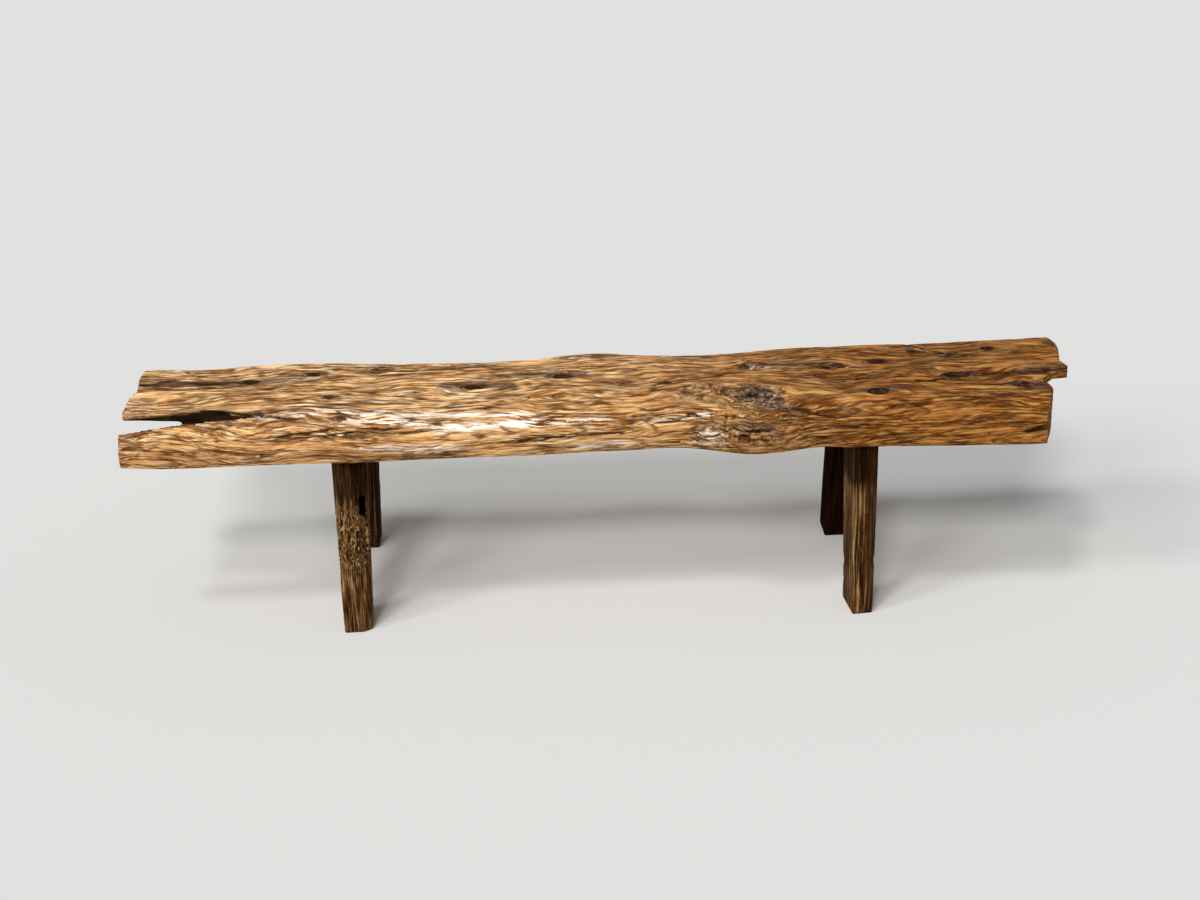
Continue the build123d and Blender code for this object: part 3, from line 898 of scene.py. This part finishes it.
def weatherPost(piece, nodeName, foot, run, looks):
    seed, sizes, relief = looks["seed"], posts["sizes"], posts["relief"]
    mesh = piece.data
    tree = solidTree(nodeName)
    spots = readVertices(mesh) / toMetres
    normals = readNormals(mesh)
    spare = woodBehind(tree, spots, normals) * posts["deepest"]
    # the grain follows the slanting middle line of the post
    grain = spots - (spots[:, 2] - foot[2])[:, None] * [run[0], run[1], 0]
    # painted shade over the right side of the post
    dim = ease(grain[:, 0] - foot[0], 4, 14) * looks["sideShadeShare"]
    sway = sideways(spots, sizes["sway"], (seed, seed + 1), 5 / looks["straight"])
    grain[:, :2] += sway * (1 - normals[:, :2] ** 2)
    waves = hills(grain, sizes["waves"], seed + 2, 3)
    lines = creases(grain, sizes["lines"], seed + 5, 4.5)
    worn = ease(hills(spots, sizes["worn"], seed + 6), -0.2, 0.5)
    dents = ease(hills(spots, sizes["dents"], seed + 7), 0.25, 0.7)
    # a hacked stretch, where the grain is torn in all directions
    heights = posts["hackedHeights"]
    hacked = ease(spots[:, 2], *heights["foot"]) * (1 - ease(spots[:, 2], *heights["top"])) * looks["hacked"]
    torn = spots + sideways(spots, sizes["torn"], (seed + 8, seed + 9, seed + 10), 6)
    scars = creases(torn, sizes["scars"], seed + 11, 3) * hacked
    depth = relief["waves"] * (0.5 - 0.5 * waves) + relief["lines"] * lines ** 1.5 * (0.3 + 0.7 * worn)
    depth = depth + relief["dents"] * dents + relief["scars"] * scars
    shown = 1 - ease(spots[:, 2], posts["topOfPost"] - 6, posts["topOfPost"] - 1)
    flat = ease(np.abs(normals[:, 2]), 0.6, 0.9)
    depth = np.clip(depth * shown * (1 - flat), 0, spare)
    moved = spots - normals * depth[:, None]
    writeVertices(mesh, keepInside(moved * toMetres, nodeName))
    writeField(mesh, "grainPoint", grain + seed * 10.0)
    writeField(mesh, "furrow", np.clip(0.6 * lines + 0.9 * scars + 0.15 * depth, 0, 1))
    writeField(mesh, "worn", worn * (1 - dim))
    writeField(mesh, "dim", dim)
    writeField(mesh, "hacked", hacked)
    writeField(mesh, "sunk", betweenWalls(tree, spots, normals))
    writeField(mesh, "height", spots[:, 2])
    return mesh


def betweenWalls(tree, spots, normals):
    # painted shade: 1 on the walls and the floor of a slot cut into the front of a post
    sunk = np.zeros(len(spots))
    bottom, top = posts["slotHeights"]
    for index in np.flatnonzero((spots[:, 2] > bottom) & (spots[:, 2] < top)):
        start = Vector(spots[index] + 0.8 * normals[index])
        sides = [tree.ray_cast(start, Vector(ray), 30)[0] for ray in ((1, 0, 0), (-1, 0, 0))]
        sunk[index] = None not in sides
    return sunk


def postFinish(name, looks):
    wood = Finish(bpy.data.materials.new(name))
    colours = painted(posts["colours"])
    grain = wood.field("grainPoint", "Vector")
    furrow, worn, hacked, dim, sunk, height = map(
        wood.field, ("furrow", "worn", "hacked", "dim", "sunk", "height"))
    straightened = {
        layer: ((*cells[:2], cells[2] / looks["straight"]), *rest)
        for layer, (cells, *rest) in posts["layers"].items()}
    noises = {**wood.layers(grain, straightened), **wood.layers(grain, posts["crossLayers"])}
    scratch = hacked * wood.lineOf(noises["scratches"], 0.034)
    shade = wood.weighed(noises, posts["weights"]) + 0.5
    colour = wood.ramp(shade, colours["wood"])
    colour = wood.blend(hacked * 0.25, colour, colours["hacked"])
    colour = wood.blend(furrow * 0.85, colour, colours["furrow"])
    colour = wood.blend(scratch * 0.8, colour, colours["scratch"])
    pale = wood.between(noises["threads"], 0.56, 0.66)
    colour = wood.blend(worn * pale * 0.65, colour, colours["worn"])
    # painted shadow of the slab over the top of each post
    colour = wood.blend(wood.between(height, 238, 270) * 0.85, colour, colours["paintedSlabShadow"])
    # painted shade, near black, inside the slot
    colour = wood.blend(sunk * 0.95, colour, colours["sunk"])
    # painted shade on the right side of the face
    colour = wood.blend(dim, colour, colours["dim"])
    # darker old stain and painted shade, most on the back posts under the bench
    colour = wood.blend(looks["age"], colour, colours["darkStainAndShade"])
    return wood.surface(**{
        "Base Color": colour, "Roughness": 0.6 + furrow * 0.25,
        "Normal": wood.bump(shade + scratch * 0.4, 1.8, 0.85),
        "Specular IOR Level": 0.03 * (1 - looks["age"]), "Specular Tint": (1.0, 0.6, 0.3, 1.0)})


def middleAt(nodeName, low, high):
    spots = readVertices(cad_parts[nodeName].data)
    held = (spots[:, 2] >= low * toMetres) & (spots[:, 2] <= high * toMetres)
    part = spots[held]
    return (part.min(0) + part.max(0)) / 2


def makePosts():
    made = []
    for nodeName, looks in posts["names"].items():
        words = nodeName.split("_")
        pieceName = words[0] + words[1].capitalize() + "Post"
        piece = evenMesh(nodeName, pieceName, posts["voxel"], posts["squeeze"])
        low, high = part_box(nodeName)
        foot, seat = middleAt(nodeName, -1, 4), middleAt(nodeName, 338, 341)
        run = (seat - foot) / (seat[2] - foot[2])
        mesh = weatherPost(piece, nodeName, foot / toMetres, run, looks)
        unroll(mesh, 2, foot - run * (foot[2] - low[2]), seat + run * (high[2] - seat[2]), posts["map"])
        mesh.materials.append(postFinish(pieceName, looks))
        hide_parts(nodeName)
        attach(piece, "root")
        made.append(piece)
        print(pieceName, len(mesh.vertices), "points")
    return made


wedges = {
    "streaks": (400, 400, 30),  # cells for each metre across, deep and up
    "colours": {"wood": [(0.35, (150, 112, 70)), (0.65, (206, 172, 124))]},
}


def wedgeFinish():
    wood = Finish(bpy.data.materials.new("dryWedge"))
    spot = wood.node("TexCoord", output="Object")
    streaks = wood.noise(wood.scaled(spot, wedges["streaks"]), 4, 0.6)
    return wood.surface(**{
        "Base Color": wood.ramp(streaks, painted(wedges["colours"])["wood"]),
        "Roughness": 0.6 + streaks * 0.1,
        "Normal": wood.bump(streaks, 0.3, 0.4)})


def finishWedges():
    finish = wedgeFinish()
    for name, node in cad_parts.items():
        if "_wedge_" in name:
            node.data.materials.clear()
            node.data.materials.append(finish)
    print("wedges finished")


studio = {
    "floorHalf": 30.0,  # metres
    "fill": 0.25,  # share of the light that comes from all round
    # name, how far a shadow runs for each metre of height in x and y, share of the light, softness
    "suns": [
        ("highSun", 0.3, 0.36, 0.19, 10),
        ("frontSun", 0.3, 1.25, 0.28, 14),
        ("leftSun", 1.05, 0.5, 0.15, 14),
        ("lowLeftSun", 1.0, 1.3, 0.13, 20),
    ],
    "camera": (-0.006, -3.7985, 1.93),  # metres
    "pitch": 23.5,  # degrees
    "roll": 1.4,
    "focal": 2070,  # in pixels of a picture that is as wide as frameWidth
    "frameWidth": 1200,
    # soft box over the left half of the seat, which lights nothing but the bench: place, target
    "sheen": {"place": (-0.5, 0.5, 2.0), "target": (-0.35, -0.1, 0.4), "energy": 10, "size": (0.9, 0.35)},
}


def makeFloor():
    half = studio["floorHalf"]
    mesh = bpy.data.meshes.new("floor")
    corners = [(-half, -half, 0), (half, -half, 0), (half, half, 0), (-half, half, 0)]
    mesh.from_pydata(corners, [], [(0, 1, 2, 3)])
    floor = bpy.data.objects.new("floor", mesh)
    bpy.context.scene.collection.objects.link(floor)
    paint = Finish(bpy.data.materials.new("paleFloor"))
    mesh.materials.append(paint.surface(**{
        "Base Color": tint(*pageGrey), "Roughness": 0.9, "Specular IOR Level": 0.0}))


def makeWorld():
    # even light all round, which the camera and mirrors see as the page behind the bench
    world = bpy.data.worlds.new("studio")
    bpy.context.scene.world = world
    sky = Finish(world)
    seen = sky.node("LightPath", output="Is Camera Ray") + sky.node("LightPath", output="Is Glossy Ray")
    seen = seen + sky.node("LightPath", output="Is Transmission Ray")
    fill = sky.node("Background", {}, {"Color": (1, 1, 1, 1), "Strength": studio["fill"]})
    page = sky.node("Background", {}, {"Color": tint(*pageGrey)})
    shown = sky.node("MixShader", {}, {0: seen, 1: fill, 2: page})
    sky.node("OutputWorld", {}, {"Surface": shown})


def addLamp(name, kind, place, target, **settings):
    lamp = bpy.data.objects.new(name, bpy.data.lights.new(name, kind))
    for key, value in settings.items():
        setattr(lamp.data, key, value)
    lamp.location = place
    lamp.rotation_euler = (Vector(target) - Vector(place)).to_track_quat("-Z", "Y").to_euler()
    bpy.context.scene.collection.objects.link(lamp)
    return lamp


def makeLamps(benchPieces):
    for name, across, back, share, softness in studio["suns"]:
        slant = math.sqrt(1 + across * across + back * back)
        addLamp(name, "SUN", (-across, -back, 1), (0, 0, 0), energy=share * math.pi * slant,
                angle=math.radians(softness))
    box = studio["sheen"]
    sheen = addLamp("sheenBox", "AREA", box["place"], box["target"], energy=box["energy"],
                    shape="RECTANGLE", size=box["size"][0], size_y=box["size"][1])
    lit = bpy.data.collections.new("bench")
    for piece in benchPieces:
        lit.objects.link(piece)
    sheen.light_linking.receiver_collection = lit
    print("lamps hung")


def makeCamera():
    lens = bpy.data.cameras.new("camera")
    lens.lens = studio["focal"] / studio["frameWidth"] * lens.sensor_width
    camera = bpy.data.objects.new("camera", lens)
    tilt = Matrix.Rotation(math.radians(90 - studio["pitch"]), 4, "X")
    roll = Matrix.Rotation(-math.radians(studio["roll"]), 4, "Z")
    camera.matrix_world = Matrix.Translation(studio["camera"]) @ tilt @ roll
    bpy.context.scene.collection.objects.link(camera)
    bpy.context.scene.camera = camera


makeCamera()
benchPieces = [makeSlab(), *makePosts()]
finishWedges()
makeFloor()
makeWorld()
makeLamps(benchPieces)
bpy.context.scene.view_settings.view_transform = "Standard"
bpy.context.view_layer.update()
